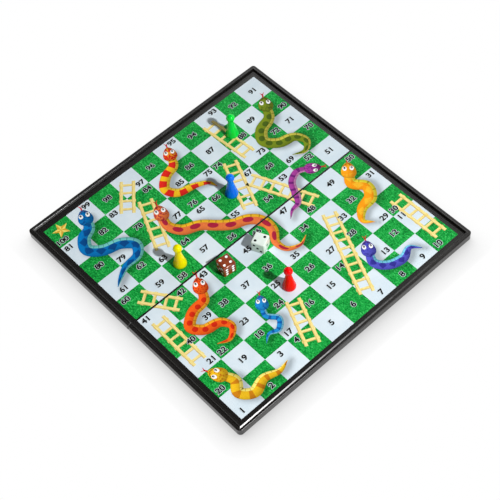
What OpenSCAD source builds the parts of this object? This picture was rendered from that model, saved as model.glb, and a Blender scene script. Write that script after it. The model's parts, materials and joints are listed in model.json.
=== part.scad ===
// Folding magnetic snakes and ladders board with four pawns and two dice.
// The origin is the middle of the open board, on the fold line, at the underside.
// +X runs from square 1 to square 10, +Y from the first row to the last, +Z up.

/* [Play area] */
// Squares along one row
columns = 10; // [8:1:12]
// Rows printed on each half
half_rows = 5; // [4:1:6]
// Width of a square, along X
square_w = 24; // [20:0.5:30]
// Depth of a square, along Y
square_d = 24.4; // [20:0.2:30]
// Height of the printed surface over the underside
play_h = 5.3; // [5.1:0.1:8]
// Thickness of the printed film
sheet_t = 0.3; // [0.1:0.05:0.4]
// Width of the film's plain border outside the squares, on its three outer sides
border_w = 2.2; // [1:0.1:3]
// Thickness of the steel plate under the film
plate_t = 0.4; // [0.2:0.05:0.5]
// Inset of the steel plate from the edge of the film
plate_inset = 0.5; // [0.1:0.1:2]

/* [Rim] */
// Width from the squares to the board's edge
rim_w = 9; // [8:0.5:14]
// Width of the flat band next to the film
band_w = 2.7; // [1:0.1:3]
// Width of the steep riser between band and crest
riser_w = 0.2; // [0.1:0.1:1]
// Height of the crest over the printed surface
crest_rise = 2.2; // [1.2:0.1:4]
// Width of the crest's flat top
crest_w = 0.2; // [0.1:0.1:0.6]
// Width of the slope from the crest down to the outer ledge
slope_w = 0.9; // [0.4:0.1:1.2]
// Drop from the crest to the outer ledge
shoulder_drop = 0.6; // [0.2:0.1:1]
// Radius of the outer shoulder
shoulder_r = 0.8; // [0.3:0.1:1.2]
// Radius of the crest's inner edge
crest_r = 0.4; // [0.1:0.05:0.5]
// Radius of the lower outer edge
foot_r = 0.6; // [0.2:0.1:0.8]
// Radius of the board's four corners, seen from above
corner_r = 4; // [1:0.5:5]

/* [Tray] */
// Thickness of the outer wall
wall_t = 2.4; // [2:0.1:3]
// Width of the ledge that the base panel seats on
ledge_w = 1.6; // [1:0.1:3]
// Thickness of the deck that carries the steel plate
deck_t = 1.2; // [0.8:0.1:1.6]
// Thickness of a rib under the deck
rib_t = 1.2; // [0.8:0.1:2]
// Pockets between the ribs, along X
pocket_columns = 6; // [3:1:10]
// Pockets between the ribs, along Y
pocket_rows = 3; // [2:1:5]
// Depth of the solid beam along the fold
fold_beam_d = 8; // [6:0.5:12]
// Bare lip between the print and the fold
fold_lip = 0.7; // [0.5:0.1:1.5]
// Chamfer on the rim's edges at the fold
fold_chamfer = 0.8; // [0.2:0.1:0.8]
// Thickness of the base panel that closes the underside
base_t = 1; // [0.6:0.1:1.2]
// Clearance around the base panel, the plate and the film
fit_clear = 0.15; // [0.05:0.05:0.3]

/* [Hinge] */
// Gap between the halves, both at the fold when open and between them when folded
fold_gap = 0.2; // [0.1:0.05:0.4]
// Height of the hinge pins over the underside
pin_h = 1.5; // [1.4:0.05:1.6]
// Radius of a hinge pin
pin_r = 0.6; // [0.4:0.05:0.7]
// Radial running clearance of a link on its pins
pin_clear = 0.05; // [0.02:0.01:0.1]
// Radial clearance of a pin in its tray
pin_seat_clear = 0.01; // [0.01:0.01:0.02]
// Radius of a link's round ends
link_r = 1.3; // [1.1:0.05:1.35]
// Width of a link, along X
link_w = 14; // [8:1:24]
// Room around a link in its pocket
link_room = 0.15; // [0.1:0.05:0.2]
// Wall between a link's pocket and the side of the board
ear_w = 9; // [6:0.5:14]
// Depth of a pin in the tray past the link's pocket
pin_grip = 7; // [4:0.5:12]
// Depth of a pin's outer end below the side of the board
pin_recess = 1; // [0.5:0.1:2]

/* [Closing magnets] */
// Radius of a closing magnet
closer_r = 5; // [3:0.5:6]
// Thickness of a closing magnet
closer_t = 2; // [1:0.1:2]
// Wall of the boss around a closing magnet
closer_wall = 1.2; // [0.8:0.1:2]
// Distance of the closing magnets from the middle
closer_x = 90; // [60:5:95]
// Distance from a closing magnet's centre to the far edge
closer_inset = 16; // [13:0.5:20]
// Radial clearance of a magnet in its pocket
magnet_clear = 0.05; // [0.02:0.01:0.1]

/* [Pawns] */
// Height of a pawn
pawn_h = 25.3; // [20:0.1:32]
// Radius of the base
pawn_base_r = 5.75; // [5.25:0.05:7]
// Height of the upright foot below the flank
pawn_foot_h = 1.8; // [1:0.1:3]
// Radius of the foot's lower edge
pawn_edge_r = 0.5; // [0.2:0.1:0.8]
// Radius of the neck
pawn_neck_r = 2.3; // [1.8:0.1:3]
// Radius of the head
pawn_head_r = 3.75; // [3.2:0.05:4.5]
// Power of the flank's curve, where 1 is a straight cone
pawn_flank_power = 1.3; // [1:0.05:1.6]
// Radius of the magnet in a pawn's foot
pawn_magnet_r = 4; // [3:0.1:4.2]
// Thickness of the magnet in a pawn's foot
pawn_magnet_t = 1.5; // [1:0.1:2]
// Recess of the magnet from the foot's face
pawn_magnet_recess = 0.1; // [0.05:0.05:0.3]

/* [Dice] */
// Edge of a die
die_edge = 12; // [10:0.5:14]
// Radius of a die's edges and corners
die_r = 1; // [0.6:0.1:1.6]
// Distance from a face's centre line to its outer pips
pip_pitch = 3; // [2.5:0.1:3.2]
// Radius of a pip
pip_r = 1.2; // [0.9:0.05:1.3]
// Depth of a pip
pip_depth = 0.35; // [0.2:0.05:0.5]
// Turn of the white die about Z
white_die_turn = 24; // [-45:1:45]
// Turn of the brown die about Z
brown_die_turn = -7; // [-45:1:45]

/* [Places] */
// Red pawn on the front half, in squares from the middle and from the fold
red_shares = [-0.5, 2.54]; // [-4.5:0.01:4.5]
// Yellow pawn on the back half, in squares from the middle and from the fold
yellow_shares = [-2.49, 0.63]; // [-4.5:0.01:4.5]
// Blue pawn on the back half, in squares from the middle and from the fold
blue_shares = [0.75, 1.56]; // [-4.5:0.01:4.5]
// Green pawn on the back half, in squares from the middle and from the fold
green_shares = [2.58, 3.52]; // [-4.5:0.01:4.5]
// White die on the front half, in squares from the middle and from the fold
white_die_shares = [-0.09, 0.73]; // [-4.5:0.01:4.5]
// Brown die on the front half, in squares from the middle and from the fold
brown_die_shares = [-1.53, 0.58]; // [-4.5:0.01:4.5]

/* [Hidden] */

$fn = 48;
// Segments of a rounded edge drawn as an outline
edge_steps = 5;
// Steps along a pawn's flank
flank_steps = 12;
// Overrun of every cut
cut = 1;

play_w = columns * square_w;
half_play_d = half_rows * square_d;
board_w = play_w + 2 * rim_w;
half_d = fold_lip + half_play_d + rim_w;

// Places along Y on the back half; the front half is its mirror image
fold_y = fold_gap / 2;
print_y = fold_y + fold_lip;
far_y = fold_y + half_d;
pin_y = fold_y + pin_h;

// Each half's film, which has its border on all sides but the fold
sheet_w = play_w + 2 * border_w;
sheet_d = half_play_d + border_w;

// Distances from the board's edge to the crest's inner edge, its outer edge and the slope's foot
crest_in = rim_w - border_w - band_w - riser_w;
crest_out = crest_in - crest_r - crest_w;
ledge_in = crest_out - slope_w;

// Heights
crest_z = play_h + crest_rise;
shoulder_z = crest_z - shoulder_drop;
plate_z = play_h - sheet_t - plate_t;
sheet_z = play_h - sheet_t;
deck_z = plate_z - deck_t;

// The base panel and the ribbed hollow above it
panel_w = board_w - 2 * wall_t;
panel_y = fold_y + fold_beam_d;
panel_d = far_y - wall_t - panel_y;
hollow_w = panel_w - 2 * ledge_w;
hollow_y = panel_y + ledge_w;
hollow_d = panel_d - 2 * ledge_w;
pocket_w = (hollow_w - (pocket_columns - 1) * rib_t) / pocket_columns;
pocket_d = (hollow_d - (pocket_rows - 1) * rib_t) / pocket_rows;

// The hinge: each link spans the two pins, which lie as high as they are far from the fold faces
link_x = board_w / 2 - ear_w - link_room - link_w / 2;
link_pocket_w = link_w + 2 * link_room;
pin_in_x = link_x - link_pocket_w / 2 - pin_grip;
pin_out_x = board_w / 2 - pin_recess;

closer_y = far_y - closer_inset;
pawn_head_z = pawn_h - pawn_head_r;
pawn_neck_z = pawn_head_z - sqrt(pow(pawn_head_r, 2) - pow(pawn_neck_r, 2));
pip_ball_r = (pow(pip_r, 2) + pow(pip_depth, 2)) / (2 * pip_depth);

function arc(centre, r, from, to) =
    [for (i = [0:edge_steps]) centre + r * [cos(from + (to - from) * i / edge_steps),
                                            sin(from + (to - from) * i / edge_steps)]];
function flank_r(t) = pawn_neck_r + (pawn_base_r - pawn_neck_r) * pow(1 - t, pawn_flank_power);
function front_place(shares) = [shares[0] * square_w, -print_y - shares[1] * square_d, play_h];
function back_place(shares) = [shares[0] * square_w, print_y + shares[1] * square_d, play_h];

// Section across the whole board without its dish: X runs across, Y is the height
module outer_section(half_w) {
    right = concat(
        arc([half_w - foot_r, foot_r], foot_r, 270, 360),
        arc([half_w - shoulder_r, shoulder_z - shoulder_r], shoulder_r, 0, 90),
        [[half_w - ledge_in, shoulder_z], [half_w - crest_out, crest_z]]);
    polygon(concat(right, [for (i = [len(right) - 1:-1:0]) [-right[i][0], right[i][1]]]));
}

// Section of the dish between the crests, which flares into each crest's inner edge
module dish_section(half_w) {
    right = concat(
        [[half_w - crest_in - riser_w, play_h]],
        arc([half_w - crest_in + crest_r, crest_z - crest_r], crest_r,
            90 + atan2(crest_rise, riser_w), 90),
        [[half_w - crest_in + crest_r, crest_z + cut]]);
    polygon(concat(right, [for (i = [len(right) - 1:-1:0]) [-right[i][0], right[i][1]]]));
}

// A section run along Y, and across it along X: where the two meet they make mitred corners
module run_both_ways(x_half, y_half) {
    intersection() {
        translate([0, y_half + cut, 0]) rotate([90, 0, 0])
            linear_extrude(2 * (y_half + cut)) children(0);
        translate([-x_half - cut, 0, 0]) rotate([90, 0, 90])
            linear_extrude(2 * (x_half + cut)) children(1);
    }
}

// Prism of the half behind the fold, with its two far corners rounded, seen from above
module half_prism() {
    tall = crest_z + 2 * cut;
    for (side = [-1, 1]) translate([side * (board_w / 2 - corner_r), far_y - corner_r, -cut])
        cylinder(r = corner_r, h = tall);
    translate([corner_r - board_w / 2, fold_y, -cut])
        cube([board_w - 2 * corner_r, half_d, tall]);
    translate([-board_w / 2 - cut, fold_y, -cut])
        cube([board_w + 2 * cut, half_d - corner_r, tall]);
}

// Chamfers at the fold on the rim's outer and upper edges
module fold_chamfers() {
    for (side = [-1, 1]) translate([side * board_w / 2, fold_y, crest_z / 2]) rotate([0, 0, 45])
        cube([fold_chamfer * sqrt(2), fold_chamfer * sqrt(2), crest_z + cut], center = true);
    translate([0, fold_y, crest_z]) rotate([45, 0, 0])
        cube([board_w + cut, fold_chamfer * sqrt(2), fold_chamfer * sqrt(2)], center = true);
}

// The hollow under the deck, cut into pockets by the ribs
module rib_pockets() {
    for (i = [0:pocket_columns - 1], j = [0:pocket_rows - 1])
        translate([-hollow_w / 2 + i * (pocket_w + rib_t), hollow_y + j * (pocket_d + rib_t),
                   base_t - cut])
            cube([pocket_w, pocket_d, deck_z - base_t + cut]);
}

module closer_places() {
    for (side = [-1, 1]) translate([side * closer_x, closer_y, base_t]) children();
}

// The quarter of material below and outside each pin that would foul while folding
module fold_edge_cut() {
    difference() {
        translate([-board_w / 2 - cut, fold_y - cut, -cut])
            cube([board_w + 2 * cut, pin_h + cut, pin_h + cut]);
        translate([-board_w / 2 - 2 * cut, pin_y, pin_h]) rotate([0, 90, 0])
            cylinder(r = pin_h, h = board_w + 4 * cut);
    }
}

module tray_blank() {
    difference() {
        intersection() {
            run_both_ways(board_w / 2, far_y) {
                outer_section(board_w / 2);
                outer_section(far_y);
            }
            half_prism();
        }
        run_both_ways(board_w / 2, far_y) {
            dish_section(board_w / 2);
            dish_section(far_y);
        }
        fold_chamfers();
    }
}

// The back tray; the front tray is its mirror image
module tray() {
    link_pocket_h = pin_h + link_r + link_room;
    difference() {
        tray_blank();
        translate([-sheet_w / 2 - fit_clear, print_y - fit_clear, plate_z])
            cube([sheet_w + 2 * fit_clear, sheet_d + 2 * fit_clear, play_h]);
        translate([-panel_w / 2, panel_y, -cut]) cube([panel_w, panel_d, base_t + cut]);
        difference() {
            rib_pockets();
            closer_places() cylinder(r = closer_r + closer_wall, h = deck_z);
        }
        closer_places() translate([0, 0, -cut])
            cylinder(r = closer_r + magnet_clear, h = closer_t + magnet_clear + cut);
        fold_edge_cut();
        for (side = [-1, 1])
            translate([side * link_x - link_pocket_w / 2, fold_y - cut, -cut])
                cube([link_pocket_w, link_pocket_h + cut, link_pocket_h + cut]);
        pin_bores();
    }
}

module pin_bores() {
    for (side = [0, 1]) mirror([side, 0, 0])
        translate([pin_in_x, pin_y, pin_h]) rotate([0, 90, 0])
            cylinder(r = pin_r + pin_seat_clear, h = board_w / 2 - pin_in_x + cut);
}

module base_panel() {
    translate([fit_clear - panel_w / 2, panel_y + fit_clear, 0])
        cube([panel_w - 2 * fit_clear, panel_d - 2 * fit_clear, base_t]);
}

module steel_plate() {
    translate([plate_inset - sheet_w / 2, print_y + plate_inset, plate_z])
        cube([sheet_w - 2 * plate_inset, sheet_d - 2 * plate_inset, plate_t]);
}

module play_sheet() {
    translate([-sheet_w / 2, print_y, sheet_z]) cube([sheet_w, sheet_d, sheet_t]);
}

module hinge_link() {
    translate([link_x - link_w / 2, 0, pin_h]) rotate([90, 0, 90]) linear_extrude(link_w)
        difference() {
            union() {
                for (side = [-1, 1]) translate([side * pin_y, 0]) circle(r = link_r);
                square([2 * pin_y, 2 * link_r], center = true);
            }
            for (side = [-1, 1]) translate([side * pin_y, 0]) circle(r = pin_r + pin_clear);
        }
}

module hinge_pins() {
    for (side = [0, 1]) mirror([side, 0, 0])
        translate([pin_in_x, pin_y, pin_h]) rotate([0, 90, 0])
            cylinder(r = pin_r, h = pin_out_x - pin_in_x);
}

module closing_magnets() {
    closer_places() cylinder(r = closer_r, h = closer_t);
}

module pawn() {
    difference() {
        union() {
            rotate_extrude() polygon(concat(
                [[0, 0]],
                arc([pawn_base_r - pawn_edge_r, pawn_edge_r], pawn_edge_r, 270, 360),
                [for (i = [0:flank_steps]) let (t = i / flank_steps)
                    [flank_r(t), pawn_foot_h + t * (pawn_neck_z - pawn_foot_h)]],
                [[pawn_neck_r, pawn_head_z], [0, pawn_head_z]]));
            translate([0, 0, pawn_head_z]) sphere(r = pawn_head_r);
        }
        translate([0, 0, -cut])
            cylinder(r = pawn_magnet_r + magnet_clear,
                     h = pawn_magnet_recess + pawn_magnet_t + magnet_clear + cut);
    }
}

module pawn_magnet() {
    translate([0, 0, pawn_magnet_recess]) cylinder(r = pawn_magnet_r, h = pawn_magnet_t);
}

// Pips of one face, as dimples around a centre at the origin in a face that looks along +Z
module pips(count) {
    corner = [pip_pitch, pip_pitch];
    other_corner = [-pip_pitch, pip_pitch];
    side_row = [pip_pitch, 0];
    places = concat(
        count % 2 == 1 ? [[0, 0]] : [],
        count > 1 ? [corner, -corner] : [],
        count > 3 ? [other_corner, -other_corner] : [],
        count > 5 ? [side_row, -side_row] : []);
    for (place = places) translate([place[0], place[1], pip_ball_r - pip_depth])
        sphere(r = pip_ball_r);
}

// A die standing on the plane Z = 0; the counts are those of its faces
// towards +Z, -Z, +X, -X, +Y and -Y
module die(counts) {
    flat = die_edge - 2 * die_r;
    turns = [[0, 0, 90], [180, 0, 0], [0, 90, 0], [0, -90, 0], [-90, 0, 0], [90, 0, 0]];
    translate([0, 0, die_edge / 2]) difference() {
        hull() {
            cube([flat, flat, die_edge], center = true);
            cube([flat, die_edge, flat], center = true);
            cube([die_edge, flat, flat], center = true);
            for (x = [-1, 1], y = [-1, 1], z = [-1, 1])
                translate(flat / 2 * [x, y, z]) sphere(r = die_r, $fn = 24);
        }
        for (i = [0:len(turns) - 1]) rotate(turns[i]) translate([0, 0, die_edge / 2])
            pips(counts[i]);
    }
}

module front() {
    mirror([0, 1, 0]) children();
}

module front_tray() {
    color([0.05, 0.05, 0.06]) front() tray();
}

module back_tray() {
    color([0.05, 0.05, 0.06]) tray();
}

module front_base_panel() {
    color([0.10, 0.10, 0.11]) front() base_panel();
}

module back_base_panel() {
    color([0.10, 0.10, 0.11]) base_panel();
}

module front_steel_plate() {
    color("silver") front() steel_plate();
}

module back_steel_plate() {
    color("silver") steel_plate();
}

module front_play_sheet() {
    color([0.40, 0.75, 0.45]) front() play_sheet();
}

module back_play_sheet() {
    color([0.40, 0.75, 0.45]) play_sheet();
}

module left_hinge_link() {
    color([0.12, 0.12, 0.13]) mirror([1, 0, 0]) hinge_link();
}

module right_hinge_link() {
    color([0.12, 0.12, 0.13]) hinge_link();
}

module front_hinge_pins() {
    color("silver") front() hinge_pins();
}

module back_hinge_pins() {
    color("silver") hinge_pins();
}

module front_closing_magnets() {
    color("dimgray") front() closing_magnets();
}

module back_closing_magnets() {
    color("dimgray") closing_magnets();
}

module red_pawn() {
    color([0.93, 0.02, 0.04]) translate(front_place(red_shares)) pawn();
}

module yellow_pawn() {
    color([1.00, 0.88, 0.02]) translate(back_place(yellow_shares)) pawn();
}

module blue_pawn() {
    color([0.02, 0.33, 0.88]) translate(back_place(blue_shares)) pawn();
}

module green_pawn() {
    color([0.03, 0.80, 0.15]) translate(back_place(green_shares)) pawn();
}

module red_pawn_magnet() {
    color("dimgray") translate(front_place(red_shares)) pawn_magnet();
}

module yellow_pawn_magnet() {
    color("dimgray") translate(back_place(yellow_shares)) pawn_magnet();
}

module blue_pawn_magnet() {
    color("dimgray") translate(back_place(blue_shares)) pawn_magnet();
}

module green_pawn_magnet() {
    color("dimgray") translate(back_place(green_shares)) pawn_magnet();
}

module white_die() {
    color([0.93, 0.94, 0.88]) translate(front_place(white_die_shares))
        rotate([0, 0, white_die_turn]) die([2, 5, 4, 3, 6, 1]);
}

module brown_die() {
    color([0.50, 0.16, 0.05]) translate(front_place(brown_die_shares))
        rotate([0, 0, brown_die_turn]) die([4, 3, 2, 5, 1, 6]);
}

front_tray();
back_tray();
front_base_panel();
back_base_panel();
front_steel_plate();
back_steel_plate();
front_play_sheet();
back_play_sheet();
left_hinge_link();
right_hinge_link();
front_hinge_pins();
back_hinge_pins();
front_closing_magnets();
back_closing_magnets();
red_pawn();
yellow_pawn();
blue_pawn();
green_pawn();
red_pawn_magnet();
yellow_pawn_magnet();
blue_pawn_magnet();
green_pawn_magnet();
white_die();
brown_die();
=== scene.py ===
"""Looks of a folding magnetic snakes and ladders board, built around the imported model.

The print is drawn in squares: u runs along a row from 0 to 10, v across the rows from 0 to 10,
and the fold is at v = 5. Each half's print is then laid on that half's film.
"""

import json
import math

import bmesh
import bpy
from mathutils import Matrix, Vector


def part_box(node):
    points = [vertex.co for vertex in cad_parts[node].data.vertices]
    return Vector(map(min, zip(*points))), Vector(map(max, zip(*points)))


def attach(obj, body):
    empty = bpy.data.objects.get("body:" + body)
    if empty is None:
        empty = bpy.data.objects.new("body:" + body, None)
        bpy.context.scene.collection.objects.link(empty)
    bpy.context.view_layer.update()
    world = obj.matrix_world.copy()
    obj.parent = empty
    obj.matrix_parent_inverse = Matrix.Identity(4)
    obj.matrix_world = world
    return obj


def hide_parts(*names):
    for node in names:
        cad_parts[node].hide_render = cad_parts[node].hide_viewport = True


MM = 0.001
COLUMNS = 10
HALF_ROWS = 5
ROWS = 2 * HALF_ROWS
HALVES = ("front", "back")

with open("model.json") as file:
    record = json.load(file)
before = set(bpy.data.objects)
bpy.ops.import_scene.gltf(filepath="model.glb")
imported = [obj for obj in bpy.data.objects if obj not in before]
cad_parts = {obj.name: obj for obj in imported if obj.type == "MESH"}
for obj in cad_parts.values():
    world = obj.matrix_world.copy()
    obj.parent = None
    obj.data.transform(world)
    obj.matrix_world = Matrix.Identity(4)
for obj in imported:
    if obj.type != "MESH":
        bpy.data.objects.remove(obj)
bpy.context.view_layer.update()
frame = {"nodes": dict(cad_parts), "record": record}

# Each half's film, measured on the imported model
FILM = {half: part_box(half + "_play_sheet") for half in HALVES}
FILM_TOP = FILM["front"][1].z

# The film's plain border outside the squares, and how far the outer edges of the first and last
# rows are moved, both towards the first row's side
BORDER = 2.2 * MM
PRINT_SHIFT = 1.0 * MM
SQUARE_W = (FILM["front"][1].x - FILM["front"][0].x - 2 * BORDER) / COLUMNS
SQUARE_D = (FILM["front"][1].y - FILM["front"][0].y - BORDER) / HALF_ROWS

# Heights of the print's layers over the film
LAYER = 0.03 * MM
RUNG_LAYER = 1
RAIL_LAYER = 1.5
SNAKE_LAYER = 2
HEAD_LAYER = 3
EYE_LAYER = 4
PUPIL_LAYER = 5
GLINT_LAYER = 6
HALO_LAYER = 7
NUMBER_LAYER = 8


# Colours

def colour(red, green, blue):
    """A colour given from 0 to 255 as it looks on screen, in linear values with alpha."""
    def linear(value):
        share = value / 255
        return share / 12.92 if share <= 0.04045 else ((share + 0.055) / 1.055) ** 2.4
    return (linear(red), linear(green), linear(blue), 1.0)


def scaled(tint, share, added=0.0):
    """A colour with its channels scaled and then raised."""
    return tuple(min(1.0, share * channel + added) for channel in tint[:3]) + (1.0,)


# Node helpers

class Nodes:
    """A node tree under construction, with short calls for its nodes."""

    def __init__(self, tree):
        self.tree = tree

    def feed(self, made, inputs):
        """Feeds a node's inputs, by name or number, with another node's output or a plain value."""
        for key, value in dict(inputs).items():
            if isinstance(value, bpy.types.NodeSocket):
                self.tree.links.new(value, made.inputs[key])
            else:
                made.inputs[key].default_value = value

    def node(self, kind, inputs=(), **settings):
        """A new node with its settings and inputs."""
        made = self.tree.nodes.new(kind)
        for key, value in settings.items():
            setattr(made, key, value)
        self.feed(made, inputs)
        return made

    def maths(self, operation, *values):
        return self.node("ShaderNodeMath", enumerate(values), operation=operation).outputs[0]

    def mix(self, factor, first, second, blend="MIX"):
        """A mix of two colours, which go into sockets 6 and 7."""
        return self.node("ShaderNodeMix", {0: factor, 6: first, 7: second}, data_type="RGBA",
                         blend_type=blend).outputs[2]

    def vector(self, *values):
        """A vector of three values."""
        return self.node("ShaderNodeCombineXYZ", enumerate(values)).outputs[0]

    def ramp(self, factor, *stops):
        """A colour ramp through (position, colour) stops."""
        made = self.node("ShaderNodeValToRGB", {0: factor})
        elements = made.color_ramp.elements
        while len(elements) < len(stops):
            elements.new(0.5)
        for element, (position, tint) in zip(elements, stops):
            element.position = position
            element.color = tint
        return made.outputs[0]

    def span(self, value, low, high, to_low=0.0, to_high=1.0):
        """Maps a value from one span to another, held at the ends."""
        ends = (value, low, high, to_low, to_high)
        return self.node("ShaderNodeMapRange", enumerate(ends)).outputs[0]


class Shader(Nodes):
    """A material under construction, with the finish of the print's paint if none is given."""

    def __init__(self, name, roughness=0.4, specular=0.12):
        self.material = bpy.data.materials.new(name)
        self.material.use_nodes = True
        super().__init__(self.material.node_tree)
        self.surface = self.tree.nodes["Principled BSDF"]
        self.feed(self.surface, {"Roughness": roughness, "Specular IOR Level": specular})

    def place(self, scale=(1, 1, 1)):
        """The point on the piece in metres, in the model's frame, stretched by a scale."""
        point = self.node("ShaderNodeTexCoord").outputs["Object"]
        return self.node("ShaderNodeMapping", {"Vector": point, "Scale": scale},
                         vector_type="POINT").outputs[0]

    def noise(self, size, detail=3.0, rough=0.5, scale=(1, 1, 1)):
        """Noise whose features are about the given size in metres."""
        inputs = {"Vector": self.place(scale), "Scale": 1 / size, "Detail": detail,
                  "Roughness": rough}
        return self.node("ShaderNodeTexNoise", inputs).outputs["Fac"]

    def spread(self, noise, low=0.0, high=1.0):
        """Noise, most of which lies from 0.3 to 0.7, spread from low to high."""
        return self.span(noise, 0.3, 0.7, low, high)

    def attribute(self, name):
        """A number that the mesh holds at each point."""
        return self.node("ShaderNodeAttribute", attribute_name=name).outputs["Fac"]

    def colour_from(self, value):
        self.feed(self.surface, {"Base Color": value})

    def rough_from(self, value):
        self.feed(self.surface, {"Roughness": value})

    def bump(self, height, distance, strength):
        """Small relief from a height between 0 and 1."""
        made = self.node("ShaderNodeBump", {"Height": height, "Distance": distance,
                                            "Strength": strength})
        self.feed(self.surface, {"Normal": made.outputs[0]})


# Materials of the board

def moulded_black():
    """Black moulded plastic with a satin gloss, faintly uneven as mouldings are."""
    shader = Shader("moulded_black", roughness=0.27, specular=0.6)
    uneven = shader.noise(9 * MM, detail=2)
    shader.colour_from(shader.mix(uneven, colour(12, 10, 8), colour(18, 15, 13)))
    shader.rough_from(shader.spread(shader.noise(3 * MM, detail=4), 0.24, 0.3))
    shader.bump(shader.noise(5 * MM, detail=2), 0.01 * MM, 0.2)
    return shader.material


def textured_black(name):
    """Matt black plastic with a fine spark-eroded grain."""
    shader = Shader(name, roughness=0.6, specular=0.3)
    grain = shader.noise(0.5 * MM, detail=5, rough=0.7)
    shader.colour_from(shader.mix(grain, colour(28, 28, 30), colour(44, 44, 47)))
    shader.rough_from(shader.spread(grain, 0.5, 0.72))
    shader.bump(grain, 0.05 * MM, 0.8)
    return shader.material


def bare_steel(name, base, along=(1, 1, 1)):
    """Bare metal with fine drawn lines."""
    shader = Shader(name, roughness=0.35, specular=0.5)
    shader.feed(shader.surface, {"Metallic": 1.0})
    lines = shader.noise(0.4 * MM, detail=4, scale=along)
    shader.colour_from(shader.mix(lines, scaled(base, 0.8), base))
    shader.rough_from(shader.spread(lines, 0.25, 0.45))
    shader.bump(lines, 0.01 * MM, 0.4)
    return shader.material


def laminate(shader):
    """The faint relief of the clear laminate over the print."""
    shader.bump(shader.noise(1.2 * MM, detail=2), 0.01 * MM, 0.25)


def film_white():
    """White print, a little blue and faintly cloudy."""
    shader = Shader("film_white", roughness=0.38)
    cloud = shader.noise(16 * MM, detail=2)
    tint = shader.mix(shader.span(cloud, 0.35, 0.65), colour(212, 227, 236), colour(222, 234, 241))
    shader.colour_from(shaded(shader, tint))
    laminate(shader)
    return shader.material


def film_green():
    """Green print mottled like grass, in blades and patches."""
    shader = Shader("film_green", roughness=0.38)
    blades = shader.noise(1.3 * MM, detail=3, rough=0.65, scale=(1.0, 0.5, 1.0))
    specks = shader.noise(0.9 * MM, detail=2, rough=0.6)
    patches = shader.noise(9 * MM, detail=2)
    mottle = shader.maths("MULTIPLY", shader.maths("ADD", blades, specks), 0.5)
    grass = shader.ramp(shader.maths("ADD", mottle, shader.spread(patches, -0.03, 0.03)),
                        (0.38, colour(0, 88, 32)), (0.46, colour(6, 142, 52)),
                        (0.54, colour(24, 170, 68)), (0.63, colour(76, 210, 108)))
    shader.colour_from(shaded(shader, grass))
    laminate(shader)
    return shader.material


def shaded(shader, tint):
    """Darkens the film's print by the painted shadow beside each snake."""
    keep = shader.span(shader.attribute("shade"), 0, 1, 1.0, 0.55)
    return shader.mix(1.0, tint, keep, blend="MULTIPLY")


def film_border():
    """Black print under the laminate, a little glossier than the squares."""
    shader = Shader("film_border", roughness=0.24, specular=0.6)
    uneven = shader.noise(5 * MM, detail=3)
    shader.colour_from(shader.mix(uneven, colour(12, 10, 9), colour(20, 17, 15)))
    laminate(shader)
    return shader.material


def film_edge():
    """Black base of the film, seen at its cut edge and back."""
    shader = Shader("film_edge", roughness=0.45, specular=0.3)
    fine = shader.noise(0.8 * MM)
    shader.colour_from(shader.mix(fine, colour(24, 24, 26), colour(40, 40, 42)))
    return shader.material


# How much paler an ink is where it is thin: times its tint, plus an amount in linear values
INK_THIN = 1.08
INK_PALE = 0.0008


def ink(name, tint):
    """Flat printing ink with a faint unevenness."""
    shader = Shader(name)
    uneven = shader.noise(0.5 * MM, detail=3)
    shader.colour_from(shader.mix(uneven, tint, scaled(tint, INK_THIN, INK_PALE)))
    return shader.material


# Stretch of the painted wood's grain along and across a bar, and its fineness
GRAIN_ALONG = 3.0
GRAIN_ACROSS = 1.6
GRAIN_SCALE = 2.2


def painted_wood():
    """Pale yellow ladder wood, with grain along each bar and one edge in shade."""
    shader = Shader("painted_wood")
    along = shader.attribute("along")
    across = shader.attribute("across")
    place = shader.vector(shader.maths("MULTIPLY", along, GRAIN_ALONG),
                          shader.maths("MULTIPLY", across, GRAIN_ACROSS), shader.attribute("bar"))
    grain = shader.node("ShaderNodeTexNoise", {"Vector": place, "Scale": GRAIN_SCALE, "Detail": 4})
    wood = shader.ramp(grain.outputs["Fac"], (0.3, colour(226, 196, 104)),
                       (0.5, colour(245, 224, 140)), (0.7, colour(255, 242, 176)))
    edge = shader.span(across, 0.35, 1.0, 0.0, 0.75)
    shader.colour_from(shader.mix(edge, wood, colour(176, 132, 52)))
    return shader.material


# Half width of a spot and of a diamond, and where the back gives way to the belly, in half widths
# of the body
SPOT_HALF = 0.5
DIAMOND_HALF = 0.75
BELLY_EDGE = (0.44, 0.5)


def snake_skin(name, back, mark, belly, pattern, period, share, lines):
    """Painted snake skin: a back with marks, a belly edge with cross lines, lit as a round body.

    period is the spacing of the marks along the body in squares, share the marks' part of it,
    and lines the number of the belly's cross lines in a square."""
    shader = Shader(name)
    along = shader.attribute("along")
    across = shader.attribute("across")
    beat = shader.maths("FRACT", shader.maths("DIVIDE", along, period))
    off = shader.maths("ABSOLUTE", shader.maths("SUBTRACT", beat, 0.5))
    far = shader.maths("DIVIDE", off, share / 2)
    if pattern == "spots":
        wide = shader.maths("DIVIDE", across, SPOT_HALF)
        far = shader.maths("ADD", shader.maths("POWER", far, 2.0),
                           shader.maths("POWER", wide, 2.0))
    elif pattern == "diamonds":
        wide = shader.maths("DIVIDE", shader.maths("ABSOLUTE", across), DIAMOND_HALF)
        far = shader.maths("ADD", far, wide)
    skin = shader.mix(shader.span(far, 0.9, 1.1), mark, back)
    scales = shader.noise(0.7 * MM, detail=2, rough=0.7)
    skin = shader.mix(1.0, skin, shader.spread(scales, 0.86, 1.1), blend="MULTIPLY")
    cross_line = shader.maths("FRACT", shader.maths("MULTIPLY", along, lines))
    belly_tint = shader.mix(shader.span(cross_line, 0.1, 0.16), scaled(belly, 0.5), belly)
    skin = shader.mix(shader.span(across, *BELLY_EDGE), skin, belly_tint)
    shader.colour_from(shader.mix(1.0, skin, shader.attribute("lit"), blend="MULTIPLY"))
    return shader.material


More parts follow.
